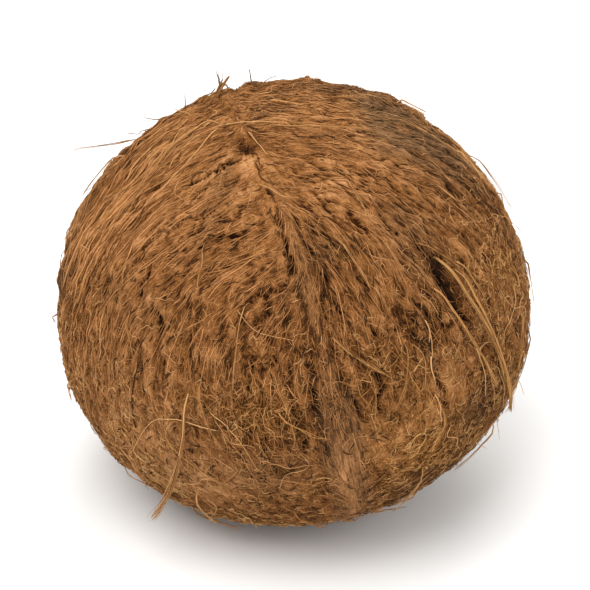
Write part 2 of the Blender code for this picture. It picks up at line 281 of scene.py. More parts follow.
def bundleRelief(polar, around, rng):
    # each bundle is a parabola across and a slow rise with a short drop along; the highest one wins
    count = bundles["count"]
    number = np.arange(count)
    middlePolar = np.arccos(1 - 2 * (number + 0.5) / count)
    middleAround = wrapped(number * golden + rng.uniform(-0.03, 0.03, count))
    halfLength = rng.uniform(*bundles["halfLength"], count)
    halfWidth = rng.uniform(*bundles["halfWidth"], count)
    height = rng.uniform(*bundles["height"], count)
    slant = rng.uniform(-bundles["slant"], bundles["slant"], count)
    ring = np.maximum(nut["girthRadius"] * np.sin(polar), 2)
    relief = np.zeros_like(polar)
    for i in range(count):
        rows = np.abs(polar[:, 0] - middlePolar[i]) * nut["upperHalf"] < halfLength[i]
        along = (polar[rows] - middlePolar[i]) * nut["upperHalf"] / halfLength[i]
        across = wrapped(around[rows] - middleAround[i] - slant[i] * along) * ring[rows] / halfWidth[i]
        rise = np.clip((along + 1) / (2 - 2 * bundles["tail"]), 0, 1)
        rise = rise * np.clip((1 - along) / (2 * bundles["tail"]), 0, 1)
        shape = np.clip(1 - across**2, 0, 1) * rise
        relief[rows] = np.maximum(relief[rows], height[i] * shape)
    low = np.clip((polar - math.radians(bundles["lowFrom"]))
                  / math.radians(bundles["lowTo"] - bundles["lowFrom"]), 0, 1)
    relief = relief * (1 - (1 - bundles["lowShare"]) * low)
    return relief * np.clip(np.sin(polar) / bundles["poleFade"], bundles["poleLeast"], 1)


def pitRelief(polar, around):
    # a bell-shaped hollow beside the point
    pit = smoothForm(np.radians([nut["pitPolar"]]), np.radians([nut["pitAround"]]))
    apart = np.linalg.norm(smoothForm(polar, around) - pit, axis=-1)
    return -nut["pitDepth"] * np.exp(-((apart / nut["pitRadius"]) ** 2))


def eyeRelief(polar, around):
    # three round dishes about the lower pole, one between each two seams
    relief = 0
    for seam in nut["seams"]:
        eye = smoothForm(np.array([math.pi - nut["eyeFromAxis"] / nut["lowerHalf"]]),
                         np.array([math.radians(seam) + math.pi / 3]))
        apart = np.linalg.norm(smoothForm(polar, around) - eye, axis=-1) / nut["eyeRadius"]
        relief = relief - nut["eyeDepth"] * np.clip(1 - apart**4, 0, 1)
    return relief


def stamp(relief, polar, around, shapes, keep):
    # adds small shapes one at a time, each worked out only on the window of the grid that it covers
    rows, wide = relief.shape
    rowStep, columnStep = math.pi / (rows - 1), 2 * math.pi / wide
    for p, a, halfLength, halfWidth, height, slant in zip(*shapes):
        ring = nut["girthRadius"] * max(math.sin(p), 0.05)
        reach = halfLength * 1.05 + halfWidth
        firstRow = max(int((p - reach / nut["upperHalf"]) / rowStep), 0)
        lastRow = min(int((p + reach / nut["upperHalf"]) / rowStep) + 2, rows)
        turn = min((halfWidth + halfLength * abs(math.sin(slant)) + 0.5) / ring, math.pi)
        firstColumn = int((a + math.pi - turn) / columnStep) - 1
        columns = np.arange(firstColumn, firstColumn + int(2 * turn / columnStep) + 4)
        columns = columns[:wide] % wide
        window = np.ix_(np.arange(firstRow, lastRow), columns)
        down = (polar[window] - p) * nut["upperHalf"]
        over = wrapped(around[window] - a) * nut["girthRadius"] * np.maximum(np.sin(polar[window]), 0.05)
        along = (down * math.cos(slant) + over * math.sin(slant)) / halfLength
        across = (over * math.cos(slant) - down * math.sin(slant)) / halfWidth
        inside = np.abs(along) < 1
        relief[window] = np.where(inside, keep(relief[window], height, along, across), relief[window])


def ridge(before, height, along, across):
    # a strip: flat-topped across, rising slowly and ending in a ragged step
    rise = np.clip((along + 1) / 1.4, 0, 1) * np.clip((1 - along) / 0.35, 0, 1)
    return np.maximum(before, height * np.clip(1.25 - across**4 * 1.25, 0, 1) * rise)


def groove(before, height, along, across):
    # a crack: a narrow valley, deepest in the middle
    return np.minimum(before, -height * np.clip(1 - across**2, 0, 1) * np.clip(1.3 - 1.3 * along**2, 0, 1))


def paint(before, tone, along, across):
    # a flat patch of one tone
    return np.where(np.abs(across) < 1, tone, before)


# Strips of felted fibre, in mm. scatter is the spread of their turns about the combed way, at the top and
# low on the nut, and lowReached is the polar angle from which the low one holds. Both are in radians.
# paintedWidth is the share of its width over which a strip has its tone.
strips = {
    "count": 6800, "seed": 31, "halfLength": (1.4, 5.0), "halfWidth": (0.6, 1.6), "height": (0.08, 0.62),
    "scatter": (0.38, 1.6), "lowReached": 1.9, "paintedWidth": 0.8, "lowNarrowing": 0.4,
}
# Locks of fibre that share a tone. Some are dark: painted shade for the gaps between the others.
locks = {
    "count": 21000, "seed": 33, "halfLength": (0.8, 3.8), "halfWidth": (0.18, 0.5), "scatter": (0.25, 1.6),
    "lowReached": 1.7, "finer": 3, "tone": (0.3, 1), "dark": 0.2, "darker": -2.3, "amount": 0.068,
}


def strewn(rng, values):
    # small shapes drawn evenly over the nut: the angles of their middles, their slants, and half their
    # lengths and widths
    count = values["count"]
    p = np.arccos(1 - 2 * rng.uniform(0.001, 0.999, count))
    a = rng.uniform(-math.pi, math.pi, count)
    scatter = blended(values["scatter"], eased(p, 1.0, values["lowReached"]))
    slant = headingOf(p, a) + rng.normal(0, 1, count) * scatter
    return p, a, slant, rng.uniform(*values["halfLength"], count), rng.uniform(*values["halfWidth"], count)


def toneLocks():
    # a random tone for each lock, on a finer grid
    rng = np.random.default_rng(locks["seed"])
    polar, around = gridAngles(locks["finer"])
    p, a, slant, length, width = strewn(rng, locks)
    # the dark locks are painted shade for the gaps between the others
    isDark = rng.uniform(0, 1, len(p)) < locks["dark"]
    tone = np.where(isDark, locks["darker"], rng.normal(*locks["tone"], len(p)))
    field = np.zeros_like(polar)
    stamp(field, polar, around, (p, a, length, width, tone, slant), paint)
    return field


def stripFields(polar, around):
    # the height of the strips, and a random tone for each of them
    rng = np.random.default_rng(strips["seed"])
    p, a, slant, length, width = strewn(rng, strips)
    width = width * (1 - strips["lowNarrowing"] * eased(p, 0.9, 1.4))
    relief, tone = np.zeros_like(polar), np.zeros_like(polar)
    stamp(relief, polar, around, (p, a, length, width, rng.uniform(*strips["height"], len(p)), slant), ridge)
    width = width * strips["paintedWidth"]
    stamp(tone, polar, around, (p, a, length, width, rng.normal(0, 1, len(p)), slant), paint)
    return relief, tone


# Cracks between the fibres, in mm, with scatter and curl in radians. The low ones run every way, and ragged
# is how far the named ones stray. shallowEnds is the share of its depth that a crack loses at its ends.
# Lumps, at the top and low on the nut, and grit lie over all the husk.
cracks = {
    "count": 330, "length": (4, 15), "depth": (0.45, 1.2), "halfWidth": (0.34, 0.54), "scatter": 0.3,
    "lowCount": 170, "lowLength": (2.5, 8), "lowDepth": (0.35, 0.85), "ragged": 0.45, "steps": 9,
    "curl": (0.1, 0.6), "shallowEnds": 0.75,
    "lumps": (0.13, 0.12), "grit": 0.07,
}
# the cracks that stand out: polar and around of one end, then of the other (degrees), depth and half width
namedCracks = {
    "scabEdge": (10.6, -94, 21.1, -139, 1.5, 0.45), "seamPoint": (11, -75, 16.5, -74, 0.9, 0.42),
    "seamUpper": (19.5, -74.5, 24, -75, 1.0, 0.45), "seamMiddle": (26, -75.5, 30, -76.5, 0.9, 0.45),
    "seamLower": (33, -77, 42, -77.3, 1.3, 0.55), "flapUpper": (30.3, -53.4, 36.5, -53.4, 0.9, 0.4),
    "flapMiddle": (36, -47.5, 42.5, -49.4, 1.0, 0.42), "flapLower": (43, -44.2, 49, -46.7, 0.9, 0.42),
    "flapCross": (37, -52, 35.6, -47, 0.8, 0.4), "sideMark": (66.5, -43, 71.5, -44.5, 1.3, 0.6),
    "sideFoot": (72.5, -44, 72.5, -40, 1.0, 0.5), "tangle": (57, -91, 63.5, -98, 0.9, 0.5),
    "tangleLow": (60.5, -92, 60, -96, 0.8, 0.45), "leftUpper": (32, -160, 44, -152, 0.8, 0.4),
    "leftLower": (45, -128, 56, -122, 0.8, 0.36),
}


def crackRelief(polar, around):
    # each crack is a walk over the nut, with a small groove stamped at every step
    rng = np.random.default_rng(strips["seed"] + 1)
    count, low, steps = cracks["count"], cracks["lowCount"], cracks["steps"]
    named = np.array(list(namedCracks.values())).T

    def both(label, lowLabel):
        return [rng.uniform(*cracks[label], count), rng.uniform(*cracks[lowLabel], low)]

    # cosines of the polar angles where they start: 0.15 to 0.99 on the upper nut, -0.85 to 0.15 below
    high, under = 1 - rng.uniform(0.01, 0.85, count), 0.15 - rng.uniform(0, 1, low)
    p = np.concatenate([np.arccos(high), np.arccos(under)])
    a = rng.uniform(-math.pi, math.pi, count + low)
    turn = np.concatenate([rng.normal(0, cracks["scatter"], count), rng.uniform(-math.pi, math.pi, low)])
    length = np.concatenate(both("length", "lowLength"))
    depth = np.concatenate([*both("depth", "lowDepth"), named[4]])
    halfWidth = np.concatenate([rng.uniform(*cracks["halfWidth"], count + low), named[5]])
    walked = walk(p, a, turn, length, steps, rng.uniform(*cracks["curl"], (2, count + low)), rng)
    listed = arcs(named[:4], steps, 0)
    ragged = rng.normal(0, cracks["ragged"] / nut["girthRadius"], (2, len(named[0]), steps + 1))
    polars = np.concatenate([walked[0], listed[0] + ragged[0]])
    arounds = np.concatenate([walked[1], listed[1] + ragged[1] / np.sin(listed[0])])
    down = np.gradient(polars, axis=1)
    over = np.gradient(np.unwrap(arounds, axis=1), axis=1) * np.sin(polars)
    slant = np.arctan2(over, down)
    share = np.linspace(0, 1, steps + 1)
    depths = depth[:, None] * (1 - cracks["shallowEnds"] * (2 * share - 1) ** 2)
    widths = halfWidth[:, None] + 0 * share
    lengths = np.hypot(down, over) * nut["girthRadius"] * 1.2
    relief = np.zeros_like(polar)
    shapes = [values.ravel() for values in (polars, arounds, lengths, widths, depths, slant)]
    stamp(relief, polar, around, shapes, groove)
    return relief


# Places with a character of their own: polar, around and the spread each way, in degrees. The vein is a
# thin line down the nut. Its half width is in mm, and its drift round the nut in radians.
regions = {
    "grey": (46, 14, 11, 18), "greyLow": (55, 5, 8, 9), "greyTop": (38, 24, 6, 10),
    "greyNear": (38, 4, 7, 10), "hollow": (65, -36.6, 9, 2.2), "goldSide": (90, -63, 16, 15),
    "scab": (16.5, -120, 8, 30), "longLeft": (38, -172, 22, 34), "back": (30, 95, 14, 45),
    "veinAround": -52.4, "veinPolar": 82, "veinHalfLength": 20, "veinHalfWidth": 1.1, "veinDrift": 0.074,
}


def spot(polar, around, middle):
    # an oval with soft edges, 1 in its middle
    p, a, spreadPolar, spreadAround = np.radians(middle)
    over = wrapped(around - a) * np.sin(polar) / math.sin(p)
    return np.exp(-(((polar - p) / spreadPolar) ** 2) - (over / spreadAround) ** 2)


def bareShape(polar, around):
    # where the seams have lost their hair: narrow and half bare at the top, wide and bare low on the nut
    bare = 0
    lower = eased(polar, 1.05, 1.35)
    for seam in nut["seams"]:
        past = np.maximum(np.abs(acrossSeam(polar, around, seam)) - (0.5 + 3.2 * lower), 0)
        bare = bare + np.exp(-((past / (0.8 + 0.5 * lower)) ** 2)) * (0.4 + 0.6 * lower)
    return np.clip(bare, 0, 1)


# How the layers of the relief go together. The names that end in Low are what a layer loses low on the nut,
# scabCalm and bareCalm are what the scab and the bare seams lose, and sunk and lowRaised are in mm. The
# flakes are the tones of the strips, and flakesBare is what they lose on the bare seams.
layers = {
    "seed": 35, "coarse": 0.75, "coarseLow": 0.2, "fine": 0.9, "fineLow": 0.35, "sunk": 0.2,
    "lowRaised": 0.25, "scabCalm": 0.65, "bareCalm": 0.65, "flakesLow": 0.4, "flakesBare": 0.7,
}
gridPolar, gridAround = gridAngles(1)
cadRng = np.random.default_rng(bundles["seed"])  # the strands go on drawing from it
coarse = seamRelief(gridPolar, gridAround) + bundleRelief(gridPolar, gridAround, cadRng)
fieldRng = np.random.default_rng(layers["seed"])
lowGrid = eased(gridPolar, 1.0, 1.6)
lumpGrid = cloud(fieldRng, 3) * blended(cracks["lumps"], lowGrid)
grit = fieldRng.normal(0, cracks["grit"], gridPolar.shape)
patchGrid = cloud(fieldRng, 40)  # where hair lies thick (above 0) or has worn off (below 0)
blotchGrid = cloud(fieldRng, 120)
bareGrid = bareShape(gridPolar, gridAround)
fade = np.clip(np.sin(gridPolar) / 0.12, 0.25, 1) * (1 - layers["bareCalm"] * bareGrid)
hollows = pitRelief(gridPolar, gridAround) + eyeRelief(gridPolar, gridAround)
hollows = hollows + hollowRelief(gridPolar, gridAround)
fine, flakeGrid = stripFields(gridPolar, gridAround)
calm = 1 - layers["scabCalm"] * spot(gridPolar, gridAround, regions["scab"])
fine = (fine * (layers["fine"] - layers["fineLow"] * lowGrid) + lumpGrid) * calm - layers["sunk"]
flakeGrid = flakeGrid * (1 - layers["flakesLow"] * lowGrid) * (1 - layers["flakesBare"] * bareGrid)
lockGrid = toneLocks()
splits = crackRelief(gridPolar, gridAround)
reliefGrid = (coarse * (layers["coarse"] - layers["coarseLow"] * lowGrid) + (fine + grit + splits) * fade
              + hollows + layers["lowRaised"] * lowGrid)
depthGrid = reliefGrid - blurred(reliefGrid)
print("relief ready: %.2f to %.2f mm" % (reliefGrid.min(), reliefGrid.max()))


# lighter and darker places: polar, around, the spread each way (degrees) and the change of tone
# the pit, hollowTop and hollow spots darken the recesses with painted shade
tones = {
    "scab": (18, -122, 10, 28, 0.10), "scuffed": (31, -52, 6, 9, 0.03), "pit": (6.5, -82, 3.6, 16, -0.22),
    "back": (28, 95, 12, 40, -0.11), "middle": (50, -94, 12, 22, -0.10),
    "underSeam": (64, -60, 10, 13, -0.06), "belly": (76, -86, 9, 20, -0.15),
    "crownSide": (36, 160, 10, 18, -0.16), "vein": (80, -52.4, 16, 2.0, -0.02),
    "sideHigh": (60, 0, 16, 16, -0.12), "lowLeft": (88, -124, 15, 22, 0.06),
    "lowRight": (88, -52, 14, 22, 0.06), "left": (50, -138, 16, 20, 0.07),
    "rightHigh": (43, -38, 13, 13, 0.06), "scuffTop": (26, -32, 7, 18, 0.09),
    "lowMiddle": (93, -98, 9, 20, 0.10), "lowerLeft": (82, -134, 14, 15, 0.10),
    "hollowTop": (58.5, -36, 3, 2.6, -0.4), "hollow": (67, -36.8, 8, 2.4, -0.25),
    "seamStripe": (42, -77.5, 4, 2, -0.04), "seamFoot": (87, -74, 10, 8, 0.08),
    "seamTrunk": (70, -77.5, 10, 3.5, -0.09), "bottomLeft": (96, -116, 11, 22, 0.13),
    "rightFoot": (90, -62, 9, 11, 0.06), "sideRight": (46, -10, 12, 14, 0.05),
    "seamLeft": (42, -80, 12, 4, 0.08), "seamRight": (46, -60, 10, 8, -0.09),
    "troughLow": (69.5, -48, 7, 5.5, -0.17), "greyLeft": (41, 1, 5, 7, -0.11),
    "greyFoot": (51, 6, 4, 5, 0.09), "leftWarm": (40, -109, 8, 7, -0.07),
    "trunkHigh": (62.7, -84, 6, 6, -0.07), "trunkLow": (70, -73, 5, 5, 0.06),
    "troughEdge": (55.7, -55, 5, 5, 0.07), "sideFoot": (84, -47, 6, 6, 0.06),
    "crownFront": (18, 16, 5, 20, 0.07), "crownEdge": (37, 128, 5, 10, -0.10),
}
# What is added to every tone, how far blotches and flakes move it, how much less the locks do so on the
# scab and on the bare seams, and the share of the locks that the ground takes.
toning = {
    "added": 0.035, "blotches": 0.04, "flakes": 0.04, "scabLess": 0.6, "bareLess": 0.6, "groundLocks": 0.3,
}


def toneAt(polar, around, lockShare=1.0):
    # how much lighter or darker the husk is at a place
    change = sum(amount * spot(polar, around, middle) for *middle, amount in tones.values())
    change = change + toning["blotches"] * read(blotchGrid, polar, around)
    change = change + toning["flakes"] * read(flakeGrid, polar, around)
    lockShare = lockShare * (1 - toning["scabLess"] * spot(polar, around, regions["scab"]))
    lockShare = lockShare * (1 - toning["bareLess"] * read(bareGrid, polar, around))
    return toning["added"] + change + locks["amount"] * lockShare * read(lockGrid, polar, around)


def veinShape(polar, around):
    # a thin line down the nut that drifts a little round it
    along = (polar - math.radians(regions["veinPolar"])) / math.radians(regions["veinHalfLength"])
    middle = math.radians(regions["veinAround"]) - regions["veinDrift"] * along
    across = roundFrom(polar, around, middle) / regions["veinHalfWidth"]
    return np.exp(-(across**2)) * np.clip(1 - along**4, 0, 1)


def regionWeights(polar, around):
    # red: weathered grey; green: golden matted fibre; blue: the bare pale seam; alpha: how low on the nut,
    # for the painted shade there
    rough = 0.4 * read(lumpGrid, polar, around) / cracks["lumps"][0]
    grey = sum(spot(polar, around, regions[name]) for name in ("grey", "greyLow", "greyTop", "greyNear"))
    worn = 0.26 * np.clip(-read(blotchGrid, polar, around) - 0.3, 0, 1.4)
    grey = np.clip(grey * (1.0 + rough) + worn, 0, 1)
    thick = 0.35 * np.maximum(read(patchGrid, polar, around), 0) * eased(polar, 0.9, 1.4)
    gold = np.clip(spot(polar, around, regions["goldSide"]) + thick, 0, 1)
    bare = np.clip(read(bareGrid, polar, around) * eased(polar, 0.12, 0.5) + veinShape(polar, around), 0, 1)
    low = np.clip((polar - 0.7) / 1.7, 0, 1)
    return np.stack([grey, gold, bare, low], -1)


def addObject(name, data):
    made = bpy.data.objects.new(name, data)
    bpy.context.scene.collection.objects.link(made)
    return made


def makeMesh(name, points, faces, uv, attributes, material):
    # points in mm in the row frame; faces are triangles; uv holds one pair for each corner
    mesh = bpy.data.meshes.new(name)
    mesh.vertices.add(len(points))
    mesh.vertices.foreach_set("co", (points * toMetres).astype(np.float32).ravel())
    mesh.loops.add(faces.size)
    mesh.loops.foreach_set("vertex_index", faces.astype(np.int32).ravel())
    mesh.polygons.add(len(faces))
    mesh.polygons.foreach_set("loop_start", np.arange(0, faces.size, 3, dtype=np.int32))
    mesh.update(calc_edges=True)
    mesh.shade_smooth()
    layer = mesh.uv_layers.new(name="OFBake")
    layer.uv.foreach_set("vector", uv.astype(np.float32).ravel())
    kinds = {1: ("FLOAT", "value"), 3: ("FLOAT_VECTOR", "vector"), 4: ("FLOAT_COLOR", "color")}
    for label, values in attributes.items():
        kind, field = kinds[1 if values.ndim == 1 else values.shape[1]]
        made = mesh.attributes.new(label, kind, "POINT")
        made.data.foreach_set(field, values.astype(np.float32).ravel())
    mesh.materials.append(material)
    piece = addObject(name, mesh)
    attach(piece, "root")
    print(name, len(faces), "triangles")
    return piece


def closedSheet(down, across, turned):
    # a sheet of down rings of across points, closed by a single point at each end, as triangles. Three
    # arrays come back, for the first end, the sides and the last end. Each holds the row of every corner,
    # then its column; the rows count from the first point. turned changes the way that they face.
    row, column = np.meshgrid(np.arange(1, down), np.arange(across), indexing="ij")
    a, b, c, d = (row, column), (row + 1, column), (row + 1, column + 1), (row, column + 1)
    if turned:
        b, d = d, b
    sides = np.stack([np.stack(corner) for corner in (a, b, c, a, c, d)], -1).reshape(2, -1, 3)
    column, row = np.arange(across), np.ones(across)
    near, far = (column + 1, column) if turned else (column, column + 1)
    first = np.stack([[0 * row, row, row], [column + 0.5, near, far]])
    last = np.stack([[(down + 1) * row, down * row, down * row], [column + 0.5, far, near]])
    return np.moveaxis(first, 1, 2), sides, np.moveaxis(last, 1, 2)


def sheetFaces(rows, columns, down, across):
    # the first point is number 0, the rings follow, and the last point comes last
    return np.clip(1 + (rows - 1) * across + columns % across, 0, down * across + 1).astype(int)


class Wire:
    # a socket that takes part in arithmetic: each operator adds one Math node
    def __init__(self, graph, socket):
        self.graph, self.socket = graph, socket

    def maths(self, operation, first, second):
        return self.graph.node("ShaderNodeMath", {"operation": operation}, {0: first, 1: second})

    def __add__(self, other):
        return self.maths("ADD", self, other)

    def __sub__(self, other):
        return self.maths("SUBTRACT", self, other)

    def __rsub__(self, other):
        return self.maths("SUBTRACT", other, self)

    def __mul__(self, other):
        return self.maths("MULTIPLY", self, other)

    __radd__, __rmul__ = __add__, __mul__

    def between(self, low, high):
        # 0 at low, 1 at high, smooth in between
        return self.graph.node("ShaderNodeMapRange", {"interpolation_type": "SMOOTHSTEP"},
                               {0: self, 1: low, 2: high})


class Graph:
    # a material with its Principled shader and a short way to add nodes
    def __init__(self, name, **fixed):
        self.material = bpy.data.materials.new(name)
        self.material.use_nodes = True
        self.tree = self.material.node_tree
        self.shader = self.tree.nodes["Principled BSDF"]
        for socket, value in fixed.items():
            self.shader.inputs[socket.replace("_", " ")].default_value = value

    def put(self, socket, value):
        if isinstance(value, Wire):
            self.tree.links.new(value.socket, socket)
        elif isinstance(value, tuple) and socket.type == "RGBA" and len(value) == 3:
            socket.default_value = (*value, 1)
        else:
            socket.default_value = value

    def node(self, kind, settings=None, inputs=None, out=0):
        made = self.tree.nodes.new(kind)
        for label, value in (settings or {}).items():
            if label == "stops":
                ramp = made.color_ramp
                while len(ramp.elements) < len(value):
                    ramp.elements.new(1)
                for element, (position, colour) in zip(ramp.elements, value):
                    element.position, element.color = position, (*colour, 1)
            else:
                setattr(made, label, value)
        for label, value in (inputs or {}).items():
            self.put(made.inputs[label], value)
        return Wire(self, made.outputs[out])

    def parts(self, vector):
        # the three numbers of a vector or a colour
        first = self.node("ShaderNodeSeparateXYZ", {}, {0: vector})
        return [Wire(self, socket) for socket in first.socket.node.outputs]

    def coordinates(self):
        return self.node("ShaderNodeTexCoord", out=3)  # Object

    def attribute(self, name, out):
        # out: 0 for a colour, 1 for a vector, 2 for a number and 3 for alpha
        return self.node("ShaderNodeAttribute", {"attribute_name": name}, out=out)

    def noise(self, vector, scale, detail=2.0, roughness=0.5):
        # scale holds one number for each axis
        stretched = self.node("ShaderNodeVectorMath", {"operation": "MULTIPLY"}, {0: vector, 1: scale})
        return self.node("ShaderNodeTexNoise", {},
                         {"Vector": stretched, "Scale": 1.0, "Detail": detail, "Roughness": roughness})

    def ramp(self, tone, stops):
        return self.node("ShaderNodeValToRGB", {"stops": stops}, {0: tone})

    def mix(self, factor, first, second, blend="MIX"):
        return self.node("ShaderNodeMix", {"data_type": "RGBA", "blend_type": blend},
                         {0: factor, 6: first, 7: second}, 2)

    def finish(self, outputs):
        for label, value in outputs.items():
            self.put(self.shader.inputs[label], value)
        return self.material


# low, gold and shade multiply a colour; low is painted shade, darker and a little greyer low on the nut; seam
# and grey give it their hue
tints = {
    "low": (0.66, 0.68, 0.72), "gold": (1.60, 1.68, 1.35), "seam": (0.245, 0.116, 0.046),
    "grey": (0.212, 0.110, 0.047), "shade": (0.65, 0.65, 0.65),
}


def addRegions(graph, colour, amounts):
    # lays the painted shade low on the nut, then the golden, seam and weathered tints, over a colour, each by
    # its own amount
    red, green, blue = graph.parts(graph.attribute("regions", 0))
    low = graph.attribute("regions", 3)
    # painted shade: darker and a little greyer low on the nut
    colour = graph.mix(low * amounts[0], colour, tints["low"], "MULTIPLY")
    colour = graph.mix(green * amounts[1], colour, tints["gold"], "MULTIPLY")
    colour = graph.mix(blue * amounts[2], colour, tints["seam"], "COLOR")
    colour = graph.mix(red * amounts[3], colour, tints["grey"], "COLOR")
    return graph.mix(red * amounts[3], colour, tints["shade"], "MULTIPLY")


# The ground's noises are fine and speck, which are the same every way, and grain, drawn out along the
# combing. plain holds the shares of fine and speck, lined those of grain and fine, and bumps those of all
# three. lining is how far the tone goes from plain to lined: less low on the nut, more on the bare seams.
# depth is how much the relief moves the tone, a painted shade that darkens its hollows, and the cracks darken
# with painted shade between two depths (mm).
groundLook = {
    "fine": (2600.0, 2600.0, 2600.0), "speck": (1000.0, 1000.0, 1000.0), "grain": (2.6, 2.6, 0.26),
    "plain": (0.75, 0.40), "lined": (1.15, 0.10), "lining": 0.62, "liningLow": 0.4, "liningBare": 0.45,
    # painted shade: the ground is darker low on the nut, between the curls
    "depth": 0.26, "darker": 0.12, "paintedShadeLow": 0.03,
    "stops": [(0.26, (0.022, 0.009, 0.003)), (0.40, (0.105, 0.038, 0.010)), (0.52, (0.250, 0.098, 0.026)),
              (0.66, (0.420, 0.180, 0.058)), (0.82, (0.600, 0.310, 0.132))],
    "tints": (0.75, 0.2, 0.7, 0.85), "crackDepths": (-0.8, -0.05), "paintedCrackShade": (0.30, 0.21, 0.155),
    "bumps": (0.6, 0.6, 0.8), "bumpHeight": 0.0006,
}


def groundMaterial():
    look = groundLook
    graph = Graph("huskGround", Roughness=0.95, Specular_IOR_Level=0.08)
    depth = graph.attribute("depth", 2)
    placed = graph.attribute("placedTone", 2)
    coordinates = graph.coordinates()
    fine = graph.noise(coordinates, look["fine"], 2.0, 0.6)
    speck = graph.noise(coordinates, look["speck"], 3.0, 0.7)
    shares = graph.parts(graph.attribute("combing", 1))
    left, right, down = [graph.noise(graph.attribute(way, 1), look["grain"], 3.0, 0.7) * share
                         for way, share in zip(("grainLeft", "grainRight", "grainDown"), shares)]
    streak = left + right + down
    bare = graph.parts(graph.attribute("regions", 0))[2]
    low = graph.attribute("regions", 3)
    plain = fine * look["plain"][0] + speck * look["plain"][1]
    lined = streak * look["lined"][0] + fine * look["lined"][1]
    lining = look["lining"] - low * look["liningLow"] + bare * look["liningBare"]
    # painted shade: the relief's depth darkens the hollows and lightens the ridges
    tone = plain + (lined - plain) * lining + depth * look["depth"] + placed
    # painted shade: darker low on the nut
    tone = tone - look["darker"] - low * look["paintedShadeLow"]
    colour = addRegions(graph, graph.ramp(tone, look["stops"]), look["tints"])
    # painted shade: the cracks are darkened between two depths
    shade = depth.between(*look["crackDepths"])
    colour = graph.mix(shade, graph.mix(1.0, colour, look["paintedCrackShade"], "MULTIPLY"), colour)
    height = fine * look["bumps"][0] + speck * look["bumps"][1] + streak * look["bumps"][2]
    normal = graph.node("ShaderNodeBump", {},
                        {"Strength": 1.0, "Distance": look["bumpHeight"], "Height": height})
    return graph.finish({"Base Color": colour, "Normal": normal})


# the colours of tones 0, 0.5 and 1, and how much of the low, golden, seam and weathered tints is taken
fibreLooks = {
    "mattedFibre": {"dark": (0.055, 0.020, 0.005), "middle": (0.300, 0.118, 0.032),
                    "light": (0.600, 0.288, 0.108), "tints": (0.45, 0.35, 0.6, 0.9)},
    "looseFibre": {"dark": (0.100, 0.040, 0.010), "middle": (0.390, 0.174, 0.050),
                   "light": (0.680, 0.385, 0.155), "tints": (0.25, 0.25, 0.5, 0.7)},
}


def fibreMaterial(name):
    # each fibre has its own tone; a slow noise along it keeps it from being one flat colour
    look = fibreLooks[name]
    graph = Graph(name, Roughness=0.85, Specular_IOR_Level=0.12)
    tone = graph.attribute("tone", 2)
    along = graph.noise(graph.coordinates(), (900.0, 900.0, 900.0), 2.0)
    tone = tone + along * 0.40 - 0.20
    colour = graph.ramp(tone, [(0.0, look["dark"]), (0.5, look["middle"]), (1.0, look["light"])])
    return graph.finish({"Base Color": addRegions(graph, colour, look["tints"])})


def grainAbout(axis, unit):
    # coordinates that follow great circles through an axis: two tell the circle, the third is the way along
    first = np.array([-axis[1], axis[0], 0.0]) if axis[2] == 0 else np.array([1.0, 0, 0])
    x, y = unit @ first, unit @ np.cross(axis, first)
    ring = np.maximum(np.hypot(x, y), 1e-6)
    along = np.arccos(np.clip(unit @ axis, -1, 1))
    return np.stack([x / ring, y / ring, along], -1) * nut["girthRadius"]


def makeGround(material):
    # the smooth form moved outwards by the relief, on the grid, with one vertex at each pole
    height = reliefGrid.copy()
    height[0], height[-1] = height[0].mean(), height[-1].mean()
    points = smoothForm(gridPolar, gridAround) + outward(gridPolar, gridAround) * height[..., None]
    points = stand(points.reshape(-1, 3)).reshape(*gridPolar.shape, 3)
    points[..., 2] = np.maximum(points[..., 2], 0)  # the flat spot that the nut rests on

    def perVertex(field):
        # a pole's row holds one place again and again, so its first value stands for it
        flat = field[1:-1].reshape(-1, *field.shape[2:])
        return np.concatenate([field[0, :1], flat, field[-1, :1]])

    across, down = grid["around"], grid["polar"] - 2
    rows, columns = np.concatenate(closedSheet(down, across, False), 1)
    uv = np.stack([columns / across, 1 - rows / (down + 1)], -1)
    unit = unitPoint(gridPolar, gridAround)
    attributes = {
        "grainLeft": grainAbout(flatWay(flow["left"]), unit),
        "grainRight": grainAbout(flatWay(flow["right"]), unit),
        "grainDown": grainAbout(np.array([0, 0, 1.0]), unit),
        "combing": combShares(unit), "depth": depthGrid,
        "placedTone": toneAt(gridPolar, gridAround, toning["groundLocks"]),
        "regions": regionWeights(gridPolar, gridAround),
    }
    attributes = {label: perVertex(field) for label, field in attributes.items()}
    faces = sheetFaces(rows, columns, down, across)
    return makeMesh("huskGround", perVertex(points), faces, uv, attributes, material)


def acrossPath(points, outs):
    # the unit vectors sideways and upwards at every point of a path, from the outward direction there
    ahead = normalised(np.gradient(points, axis=-2))
    side = normalised(np.cross(ahead, outs))
    return side, np.cross(side, ahead)


